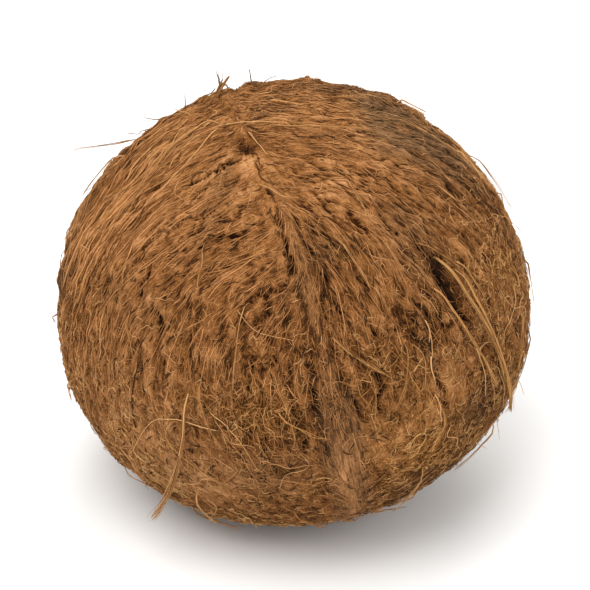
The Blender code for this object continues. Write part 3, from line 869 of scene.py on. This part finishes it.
def tubes(name, points, outs, radius, tone, weights, material, flat=1.0):
    # slim three-sided tubes with pointed ends, flat times as high as they are wide.
    # points and outs: fibre, step, xyz; radius: fibre, step
    count, rings = points.shape[0], points.shape[1] - 2
    side, up = acrossPath(points, outs)
    angles = np.radians([90, 210, 330])[:, None]
    offset = up[:, 1:-1, None] * np.sin(angles) * flat + side[:, 1:-1, None] * np.cos(angles)
    ring = points[:, 1:-1, None] + offset * radius[:, 1:-1, None, None]
    vertices = np.concatenate([points[:, :1], ring.reshape(count, -1, 3), points[:, -1:]], 1)
    start, walls, end = closedSheet(rings, 3, True)
    rows, columns = np.concatenate([walls, start, end], 1)
    pattern = sheetFaces(rows, columns, rings, 3)
    faces = (pattern[None] + (np.arange(count) * (rings * 3 + 2))[:, None, None]).reshape(-1, 3)
    # each fibre has its own cell of the UV map, with a margin of 6% round it
    cells = math.ceil(math.sqrt(count))
    cell = np.stack([np.arange(count) % cells, np.arange(count) // cells], -1)
    patternUv = np.stack([columns / 3, rows / (rings + 1)], -1)
    uv = (cell[:, None, None] + 0.06 + patternUv[None] * 0.88) / cells

    def spread(values):
        # a value for each step is given to its ring's three vertices
        middle = np.repeat(values[:, 1:-1], 3, axis=1)
        return np.concatenate([values[:, :1], middle, values[:, -1:]], 1).reshape(-1, *values.shape[2:])

    attributes = {"tone": spread(tone), "regions": spread(weights)}
    return makeMesh(name, vertices.reshape(-1, 3), faces, uv.reshape(-1, 2), attributes, material)


# turn is the scatter about the combed way, bend the swing of the two sines (radians), rest and lift are
# heights over the relief (mm), and tone is the mean and spread of a fibre's lightness. In turn, bend and
# lift the first value is for the top of the nut and the second for low on it.
fibres = {
    "feltFibres": {
        "count": 13800, "seed": 41, "length": (1.3, 5.0), "radius": (0.08, 0.18), "flat": 0.45, "steps": 3,
        "turn": (0.36, 1.3), "bend": (0.3, 0.9), "rest": (-0.08, 0.14), "lift": (0.28, 0.45),
        "tone": (0.52, 0.14), "where": "upper"},
    "napFibres": {
        "count": 6200, "seed": 42, "length": (1.2, 4.2), "radius": (0.07, 0.15), "flat": 0.45, "steps": 3,
        "turn": (0.75, 3.0), "bend": (0.4, 1.3), "rest": (-0.08, 0.14), "lift": (0.35, 0.45),
        "tone": (0.48, 0.15), "where": "all"},
    "combedFibres": {
        "count": 4300, "seed": 43, "length": (5, 19), "radius": (0.08, 0.17), "flat": 0.6, "steps": 5,
        "turn": (0.15, 0.5), "bend": (0.15, 0.5), "rest": (-0.07, 0.20), "lift": (0.30, 0.5),
        "tone": (0.54, 0.16), "where": "upper"},
    # dark fibres laid flat in the felt: painted shade of the thin cracks, and the husk's own dark fibres
    "crackShadeFibres": {
        "count": 3400, "seed": 48, "length": (1.5, 5.0), "radius": (0.13, 0.27), "flat": 0.4, "steps": 3,
        "turn": (0.22, 1.2), "bend": (0.3, 0.9), "rest": (0.12, 0.28), "lift": (0.2, 0.4),
        "tone": (-0.22, 0.06), "where": "all"},
    "leftFibres": {
        "count": 340, "tries": 60, "seed": 47, "length": (10, 30), "radius": (0.10, 0.23), "steps": 8,
        "turn": (0.10, 0.2), "bend": (0.10, 0.3), "rest": (0.0, 0.3), "lift": (0.3, 0.5),
        "tone": (0.48, 0.24), "where": "left"},
    "mattedFibres": {
        "count": 4200, "seed": 44, "length": (3, 8), "radius": (0.06, 0.13), "steps": 6,
        "turn": (1.0, 3.0), "bend": (0.6, 2.0), "rest": (-0.05, 0.25), "lift": (0.4, 0.55),
        "tone": (0.50, 0.17), "where": "lower"},
    "curlyFibres": {
        "count": 4150, "seed": 45, "length": (3, 9), "radius": (0.065, 0.14), "steps": 7,
        "turn": (0.8, 3.0), "bend": (0.9, 3.0), "rest": (-0.02, 0.30), "lift": (0.4, 0.65),
        "tone": (0.66, 0.10), "where": "patches"},
    "fineCurls": {
        "count": 5100, "seed": 49, "length": (1.8, 5.5), "radius": (0.06, 0.125), "steps": 5,
        "turn": (1.5, 3.1), "bend": (1.4, 3.8), "rest": (-0.02, 0.28), "lift": (0.3, 0.5),
        "tone": (0.66, 0.11), "where": "lower"},
    "longCurls": {
        "count": 170, "seed": 46, "length": (9, 20), "radius": (0.07, 0.14), "steps": 16,
        "turn": (0.25, 0.8), "bend": (0.3, 1.2), "rest": (0.05, 0.4), "lift": (0.3, 0.9),
        "tone": (0.72, 0.14), "where": "patches"},
}
odd = {"dark": 0.15, "darker": 0.42, "light": 0.09, "lighter": 0.28}  # shares of dark and light fibres
# tries is how many places are drawn for each fibre. A fibre whose lowest place dips under crackEdge (mm)
# is dropped, but crackKept of those that stay above crackDeep are kept. The spread of tone grows from the
# top down, and is smaller on the scab and the back.
laying = {
    "tries": 8, "crackEdge": -0.42, "crackDeep": -0.9, "crackKept": 0.35, "floorGap": 0.3,
    "spread": 0.42, "spreadLow": 0.22, "scabCalm": 0.4, "backCalm": 0.4,
    # painted shade and light: the relief's depth darkens fibres in its hollows and lightens them on ridges,
    # lifted fibres are lighter, and fibres are darker further down the nut
    "reliefShadeTone": 0.30, "liftLightTone": 0.05, "added": 0.14, "paintedShadeLow": 0.20,
}


def density(where, polar, around):
    # the chance that a fibre is kept at each place
    bare = 1 - 0.85 * read(bareGrid, polar, around) * eased(polar, 1.0, 1.4)
    worn = 1 - 0.75 * spot(polar, around, regions["scab"])
    worn = worn * (1 - 0.85 * spot(polar, around, regions["hollow"]))
    thick = 0.45 + 0.45 * read(patchGrid, polar, around) + 0.5 * spot(polar, around, regions["goldSide"])
    thick = np.clip(thick, 0.08, 1)
    return {"all": (1 - 0.5 * (1 - bare)) * worn, "left": spot(polar, around, regions["longLeft"]),
            "upper": (1 - 0.8 * eased(polar, 1.1, 2.0)) * (0.4 + 0.6 * bare) * worn,
            "lower": (0.05 + 0.95 * eased(polar, 0.75, 1.4)) * bare * worn * (0.35 + 0.65 * thick),
            "patches": (0.04 + 0.96 * eased(polar, 0.75, 1.5)) * bare * worn * thick}[where]


def surfacePoints(polars, arounds, up):
    # standing points at a height over the relief, and the outward directions there
    outs = outward(polars, arounds)
    points = smoothForm(polars, arounds) + outs * (read(reliefGrid, polars, arounds) + up)[..., None]
    return stand(points), outs @ lean.T


def lay(name, material):
    # fibres drawn evenly over the nut, kept by their density and laid on the relief
    values = fibres[name]
    rng = np.random.default_rng(values["seed"])
    tries = values["count"] * values.get("tries", laying["tries"])
    polar = np.arccos(1 - 2 * rng.uniform(0.0, 1.0, tries))
    around = rng.uniform(-math.pi, math.pi, tries)
    keep = rng.uniform(0, 1, tries) < density(values["where"], polar, around)
    keep = np.flatnonzero(keep)[: values["count"]]
    polar, around = polar[keep], around[keep]
    count = len(polar)
    turn, bend, lift = [blended(values[label], eased(polar, 0.85, 1.6)) for label in ("turn", "bend", "lift")]
    turn = rng.normal(0, 1, count) * turn
    bend = rng.uniform(0.3, 1, (2, count)) * bend * np.array([[1.0], [0.6]])
    length = rng.uniform(*values["length"], count)
    polars, arounds = walk(polar, around, turn, length, values["steps"], bend, rng)
    least = read(depthGrid, polars, arounds).min(1)
    luck = rng.uniform(0, 1, count) < laying["crackKept"]
    clear = (least > laying["crackEdge"]) | ((least > laying["crackDeep"]) & luck)
    # either end and the middle rise by their own amounts, and the middle of a fibre is its thickest part
    share = np.linspace(0, 1, values["steps"] + 1)
    ends = rng.uniform(0, 1, (3, count, 1)) ** 2
    up = rng.uniform(*values["rest"], (count, 1)) + lift[:, None] * (
        ends[0] * share**2 + ends[1] * (1 - share) ** 2 + ends[2] * np.sin(math.pi * share) * 0.7)
    shape = np.sin(math.pi * np.clip(share * 0.86 + 0.1, 0, 1)) ** 0.5
    radius = rng.uniform(*values["radius"], count)[:, None] * shape
    middle, spread = values["tone"]
    steady = laying["scabCalm"] * spot(polar, around, regions["scab"])
    steady = steady + laying["backCalm"] * spot(polar, around, regions["back"])
    spread = spread * (laying["spread"] + laying["spreadLow"] * eased(polar, 0.3, 0.9)) * (1 - steady)
    tone = (middle + spread * rng.normal(0, 1, count))[:, None]
    # painted shade and light: darker in the hollows, lighter on ridges and where lifted
    tone = tone + laying["reliefShadeTone"] * read(depthGrid, polars, arounds) + laying["liftLightTone"] * up
    # painted shade: fibres darker further down the nut
    tone = tone + toneAt(polars, arounds) + laying["added"] - laying["paintedShadeLow"] * eased(polars, 0.5, 1.9)
    drawn = rng.uniform(0, 1, (count, 1))
    tone = tone - odd["darker"] * (drawn < odd["dark"]) + odd["lighter"] * (drawn > 1 - odd["light"])
    points, outs = surfacePoints(polars, arounds, up)
    above = (points[..., 2].min(1) > laying["floorGap"]) & clear
    parts = [part[above] for part in (points, outs, radius, tone, regionWeights(polars, arounds))]
    return tubes(name, *parts, material, values.get("flat", 1.0))


# Single hairs that stand out, and a few dark marks along the seam and scab cracks that are painted shade of
# those cracks: polar and around of the root, then of the tip (degrees), radius, height at the root and at the
# tip (mm), sideways bow (a share of its length) and tone.
singleHairs = {
    "leftArc": [(78, -104, 95, -136, 0.17, 0.5, 0.9, -0.20, 1.3)],
    "crown": [
        (4.7, 163, 16.6, -8, 0.16, 0.3, 0.4, 0.03, 0.88), (2.6, -52, 13, -62, 0.26, 0.2, 0.3, 0.02, 0.85),
        (8, 165, 13, 5, 0.12, 0.3, 0.4, -0.03, 0.8), (5, 155, 30, -150, 0.24, 0.3, 0.4, 0.04, 0.78),
        (9, 170, 36, -160, 0.22, 0.2, 0.4, 0.03, 0.75), (9, 138, 29, -170, 0.26, 0.2, 0.4, 0.03, 0.75),
        (16, 145, 43, -160, 0.22, 0.2, 0.4, 0.04, 0.72), (18, 158, 45, -167, 0.24, 0.2, 0.4, 0.02, 0.7),
        (9, 160, 28, -158, 0.24, -0.1, 0.1, 0.05, 0.05), (14, 150, 36, -166, 0.24, -0.1, 0.1, 0.04, 0.0),
        (23, 160, 53, -167, 0.24, 0.2, 0.4, 0.03, 0.75), (22, 168, 50, -160, 0.22, -0.1, 0.1, 0.03, 0.05)],
    # dark marks along the seam cracks: painted shade of the cracks
    "seamCrackShade": [
        (8.5, -80, 14.5, -73.5, 0.26, 0.3, 0.4, 0.12, -0.1),
        (15.5, -76.5, 20, -73, 0.26, 0.3, 0.4, -0.1, 0.0),
        (20.5, -77, 25.5, -74.5, 0.28, 0.3, 0.4, 0.1, -0.1), (26, -78, 31, -76, 0.24, 0.3, 0.4, -0.1, 0.0),
        (32, -78.5, 36, -77, 0.22, 0.3, 0.4, 0.1, 0.0)],
    # dark marks along the scab's edge crack: painted shade of the crack
    "scabCrackShade": [
        (10.6, -94.6, 11.5, -109.4, 0.2, 0.3, 0.35, 0.08, -0.1),
        (11.6, -110, 14.1, -119.5, 0.22, 0.3, 0.35, -0.15, -0.1),
        (14.1, -119.5, 15, -130.3, 0.2, 0.3, 0.35, 0.2, -0.1),
        (15.2, -130.5, 17.7, -136.8, 0.22, 0.3, 0.35, -0.1, -0.1),
        (17.7, -136.8, 21.1, -139.3, 0.2, 0.3, 0.35, 0.1, -0.1)],
    "veinPale": [
        (66.5, -48.8, 72, -50.6, 0.24, 0.7, 0.7, 0.08, 1.0),
        (75, -51.4, 80.5, -53.2, 0.28, 0.7, 0.7, -0.06, 1.05),
        (84, -54.2, 92, -55.2, 0.26, 0.7, 0.8, 0.06, 1.0),
        (70, -49.4, 77, -52.6, 0.2, 0.7, 0.7, 0.08, 0.85)],
    "topTuft": [
        (25, 112, 23, 97, 0.6, 0.1, 5.0, 0.02, 0.30), (27, 116, 24.5, 101, 0.5, 0.1, 3.8, -0.02, 0.22),
        (22, 117, 21, 106, 0.40, 0.1, 2.4, 0.02, 0.22), (29, 111, 24, 97, 0.36, 0.1, 4.6, 0.04, 0.1),
        (30, 115, 25.5, 100, 0.32, 0.1, 3.2, -0.03, 0.2), (31, 117, 27, 106, 0.3, 0.1, 2.2, 0.05, 0.15),
        (34, 89, 31, 88, 0.24, 0.1, 4.2, 0, 0.0), (34, 105, 32, 100, 0.16, 0.2, 5.2, 0.05, 0.1),
        (27, 88, 32, 75, 0.18, 0.2, 2.4, 0.05, 0.1)],
    "leftEdge": [
        (36, 126, 39, 136, 0.24, 0.2, 3.6, 0.05, 0.1), (40, 134, 43, 142, 0.2, 0.2, 3.4, 0.05, 0.1),
        (34, 122, 33, 119, 0.22, 0.1, 3.4, 0.05, 0.1), (50, 158, 54, 160, 0.12, 0.1, 3.0, 0.05, 0.2)],
    "lowEdge": [
        (113, -35, 125, -33, 0.12, 0.4, 4.5, 0.05, 1.0), (111, -31, 115, -24, 0.13, 0.5, 3.4, 0.5, 0.9),
        (119, -47, 121, -40, 0.10, 0.3, 3.2, 0.3, 0.8), (104, -115, 113, -116, 0.12, 0.3, 2.8, 0.2, 0.9),
        (111, -112, 116, -104, 0.12, 0.3, 3.0, 0.2, 1.0)],
    "topRight": [(43, 27, 45, 22, 0.13, 0.2, 1.6, 0, 0.2)],
    "gold": [
        (48, -98, 58, -82, 0.13, 0.3, 0.5, -0.12, 0.95), (72, -108, 90, -98, 0.15, 0.4, 0.6, 0.08, 1.0),
        (74, -107, 95, -99, 0.12, 0.4, 0.7, 0.05, 0.85)],
    "side": [
        (82, -38.5, 96, -41.5, 0.16, 1.0, 1.0, 0.02, 1.1),
        (90, -35.5, 110, -36, 0.12, 1.0, 1.6, 0.03, 0.85),
        (86, -37, 106, -38.5, 0.12, 0.8, 1.2, -0.03, 0.8),
        (61, -46.5, 71, -44, 0.14, 0.5, 0.6, 0.05, 0.85), (60, -45, 68, -43.5, 0.11, 0.4, 0.5, 0.1, 0.7),
        (84, -38, 85, -33, 0.12, 0.8, 1.0, 0.1, 1.0)],
}


def makeSingleHairs(material):
    # arcs between the two ends, rising from a sunk root with the square of the share
    steps, sunk = 14, -0.3
    hairs = [hair for group in singleHairs.values() for hair in group]
    *ends, radius, root, tip, bow, tone = np.array(hairs, float).T
    polars, arounds = arcs(ends, steps, bow)
    share = np.linspace(0, 1, steps + 1)
    up = root[:, None] + (tip - root)[:, None] * share**2
    up[:, 0] = sunk
    points, outs = surfacePoints(polars, arounds, up)
    thick, tone = radius[:, None] * (1 - 0.5 * share), tone[:, None] + 0 * share
    tubes("singleHairs", points, outs, thick, tone, regionWeights(polars, arounds), material)


# The loose strands follow the same routes as the solid nut's, drawn in the same order.
strands = {
    "count": 106, "length": (12, 27), "radius": (0.42, 0.6), "lift": (1.8, 3.2), "root": 1.9,
    "clearance": 1.7, "swingHigh": 0.35, "swingLow": 1.25, "nearPole": 0.15, "floorGap": 2.0,
    "wispSeed": 51,
    "shortShares": (0.0, 0.25, 0.5, 0.75, 1.0),
    "longShares": (0.0, 0.12, 0.28, 0.46, 0.64, 0.82, 1.0),
}
# polar, around and heading in degrees, then length, radius and lift in mm, and turn in degrees
longStrands = {
    "lowHanging": (66, -113, 0, 46, 0.9, 8.5, -36),
    "sideUpper": (54, -34.5, 0, 56, 0.85, 3.4, 2),
    "sideTwin": (60, -32, -2, 42, 0.6, 4.2, -5),
    "sideLower": (60, -41.5, 4, 34, 0.6, 3.0, 2),
    "crownLeft": (5, 140, 34, 28, 0.5, 2.4, 6),
    "strayLeft": (24, 156, -4, 24, 0.5, 12.0, 8),
    "tuftTop": (20, 105, -5, 15, 0.7, 6.5, 0),
    "crownRight": (4, -35, 30, 28, 0.45, 2.4, -20),
}
# how much lighter or darker some of the long strands are
strandTones = {"tuftTop": -0.6, "crownRight": -0.12, "crownLeft": -0.06, "strayLeft": 0.06}


def strandRoute(polar, around, heading, length, lift, turn):
    # the solid strand's own points: sunk root, then over the surface, rising with the square of the share
    shares = strands["longShares"] if length > strands["length"][1] else strands["shortShares"]
    polars, arounds, ups, done = [], [], [], 0.0
    for share in shares:
        step, way = (share - done) * length, heading + turn * share
        polar = polar + math.cos(way) * step / nut["upperHalf"]
        ring = nut["girthRadius"] * max(math.sin(polar), strands["nearPole"])
        around = around + math.sin(way) * step / ring
        up = strands["clearance"] + (lift - strands["clearance"]) * share**2 if share else -strands["root"]
        polars.append(polar)
        arounds.append(around)
        ups.append(up)
        done = share
    polars, arounds = np.array(polars), np.array(arounds)
    points = smoothForm(polars, arounds) + outward(polars, arounds) * np.array(ups)[:, None]
    return np.array(shares), stand(points), polars, arounds


def strandRoutes():
    # every strand's change of tone, radius and route, apart from those that would reach the floor
    rng = cadRng
    found = []
    for i in range(strands["count"]):
        polar = math.acos(1 - 2 * (i + 0.5) / strands["count"])
        swing = strands["swingHigh"] + (strands["swingLow"] - strands["swingHigh"]) * polar / math.pi
        around = i * golden + rng.uniform(-0.12, 0.12)
        heading = rng.uniform(-swing, swing)
        length = rng.uniform(*strands["length"])
        lift = rng.uniform(*strands["lift"])
        turn = rng.uniform(-swing, swing)
        radius = rng.uniform(*strands["radius"])
        found.append((0, radius, *strandRoute(polar, around, heading, length, lift, turn)))
    for name, (polar, around, heading, length, radius, lift, turn) in longStrands.items():
        route = strandRoute(math.radians(polar), math.radians(around), math.radians(heading), length, lift,
                            math.radians(turn))
        found.append((strandTones.get(name, 0), radius, *route))
    return [r for r in found if r[3][:, 2].min() > strands["floorGap"] + r[1]]


def smoothed(shares, values, fresh):
    # a curve through the route's points: Catmull-Rom, written as cubic Hermite pieces
    slope = np.gradient(values, shares, axis=0)
    i = np.clip(np.searchsorted(shares, fresh, side="right") - 1, 0, len(shares) - 2)
    width = (shares[i + 1] - shares[i])[:, None]
    t = ((fresh - shares[i]) / width[:, 0])[:, None]
    return ((2 * t**3 - 3 * t**2 + 1) * values[i] + (t**3 - 2 * t**2 + t) * width * slope[i]
            + (3 * t**2 - 2 * t**3) * values[i + 1] + (t**3 - t**2) * width * slope[i + 1])


# The fine fibres of each strand: their number for each square mm of its radius squared, the radius of the
# one in its core (a share), their own radius, their turns round it, how far they fray at its tip, how far
# they wave, and the mean and spread of the strand's tone.
wisps = {
    "short": {"steps": 10, "many": 11, "core": 0.22, "radius": (0.08, 0.14), "turns": 4, "fray": 1.2,
              "wave": 0.3, "tone": (0.55, 0.13)},
    "long": {"steps": 26, "many": 22, "core": 0.42, "radius": (0.08, 0.15), "turns": 5, "fray": 1.1,
             "wave": 0.28, "tone": (0.63, 0.05)},
}


def makeStrands(material):
    # each strand is a few fine fibres wound loosely round its route, fraying towards the tip
    rng = np.random.default_rng(strands["wispSeed"])
    drawn = {"short": [], "long": []}
    for change, radius, shares, points, polars, arounds in strandRoutes():
        kind = "long" if len(shares) == len(strands["longShares"]) else "short"
        values = wisps[kind]
        fresh = np.linspace(0.0, 1, values["steps"] + 1)
        way = smoothed(shares, np.concatenate([points, polars[:, None], arounds[:, None]], 1), fresh)
        route, polar, around = way[:, :3], way[:, 3], way[:, 4]
        out = outward(polar, around) @ lean.T
        side, up = acrossPath(route, out)
        base = rng.normal(values["tone"][0], values["tone"][1]) + change
        weights = regionWeights(polar, around) * np.array([0.5, 1, 0.3, 0.3])
        thick = values["core"] * radius * (1 - 0.6 * fresh) * eased(fresh, -0.1, 0.2)
        drawn[kind].append((route, out, thick, np.full(len(fresh), base), weights))
        for _ in range(round(radius**2 * values["many"])):
            turn = (rng.uniform(0, 2 * math.pi) + fresh * rng.uniform(-1, 1) * values["turns"])[:, None]
            wide = radius * rng.uniform(0.15, 0.9) * (0.7 + rng.uniform(0, values["fray"]) * fresh**2)
            wide = (wide * (0.35 + 0.65 * eased(fresh, 0.05, 0.45)))[:, None]
            wave = values["wave"] * np.sin(rng.uniform(0, 6) + fresh * rng.uniform(5, 16)) * np.sqrt(fresh)
            line = route + side * (np.cos(turn) * wide + wave[:, None]) + up * np.sin(turn) * wide * 0.7
            thick = rng.uniform(*values["radius"]) * (1 - 0.5 * fresh)
            drawn[kind].append((line, out, thick, np.full(len(fresh), base + rng.normal(0, 0.26)), weights))
    for kind, found in drawn.items():
        stacked = [np.stack(values) for values in zip(*found)]
        tubes(kind + "Strands", *stacked, material)


stage = {
    "floorSize": 6.0, "floor": (0.92, 0.915, 0.90), "paler": 1.03, "mottleScale": (3.0, 3.0, 3.0),
    "world": (1.0, 1.0, 1.0), "worldStrength": 0.80,
}


def makeStage():
    bpy.ops.mesh.primitive_plane_add(size=stage["floorSize"])
    floor = bpy.context.object
    floor.name = "floor"
    graph = Graph("paleFloor", Roughness=0.8)
    mottle = graph.noise(graph.coordinates(), stage["mottleScale"])
    colour = graph.mix(mottle, stage["floor"], tuple(c * stage["paler"] for c in stage["floor"]))
    floor.data.materials.append(graph.finish({"Base Color": colour}))
    world = bpy.data.worlds.new("studio")
    world.use_nodes = True
    background = world.node_tree.nodes["Background"]
    background.inputs["Color"].default_value = (*stage["world"], 1)
    background.inputs["Strength"].default_value = stage["worldStrength"]
    bpy.context.scene.world = world


# where each soft box stands (metres from the nut's middle), its side and its power
lights = {
    "key": ((-0.45, -0.55, 1.35), 1.2, 17.0),
    "fill": ((1.2, -1.0, 0.8), 1.2, 6.0),
    "back": ((0.2, 0.9, 1.4), 1.0, 9.0),
}


def makeLights():
    middle = standing * toMetres
    for name, (at, side, power) in lights.items():
        data = bpy.data.lights.new(name, "AREA")
        data.size, data.energy = side, power
        lamp = addObject(name, data)
        lamp.location = middle + np.array(at)
        lamp.rotation_euler = (-Vector(at)).to_track_quat("-Z", "Y").to_euler()


view = {
    "distance": 600.0, "elevation": 28, "aimRight": 1.16, "aimUp": 2.47, "frameWidth": 151.7, "sensor": 36.0,
}


def makeCamera():
    angle = math.radians(view["elevation"])
    up = np.array([0, math.sin(angle), math.cos(angle)])
    back = np.array([0, -math.cos(angle), math.sin(angle)])
    aim = standing + np.array([view["aimRight"], 0, 0]) + up * view["aimUp"]
    data = bpy.data.cameras.new("camera")
    data.sensor_width = view["sensor"]
    data.lens = data.sensor_width * view["distance"] / view["frameWidth"]
    camera = addObject("camera", data)
    camera.location = (aim + back * view["distance"]) * toMetres
    camera.rotation_euler = (math.pi / 2 - angle, 0, 0)
    bpy.context.scene.camera = camera


makeStage()
makeLights()
makeCamera()
bpy.context.scene.view_settings.view_transform = "Standard"
print("stage, lights and camera ready")

ground = makeGround(groundMaterial())
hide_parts("coconut")

matted = fibreMaterial("mattedFibre")
loose = fibreMaterial("looseFibre")
for name in ("feltFibres", "napFibres", "combedFibres", "leftFibres", "crackShadeFibres", "mattedFibres"):
    lay(name, matted)
for name in ("curlyFibres", "fineCurls", "longCurls"):
    lay(name, loose)
makeSingleHairs(loose)
makeStrands(loose)
print("fibres and strands ready")
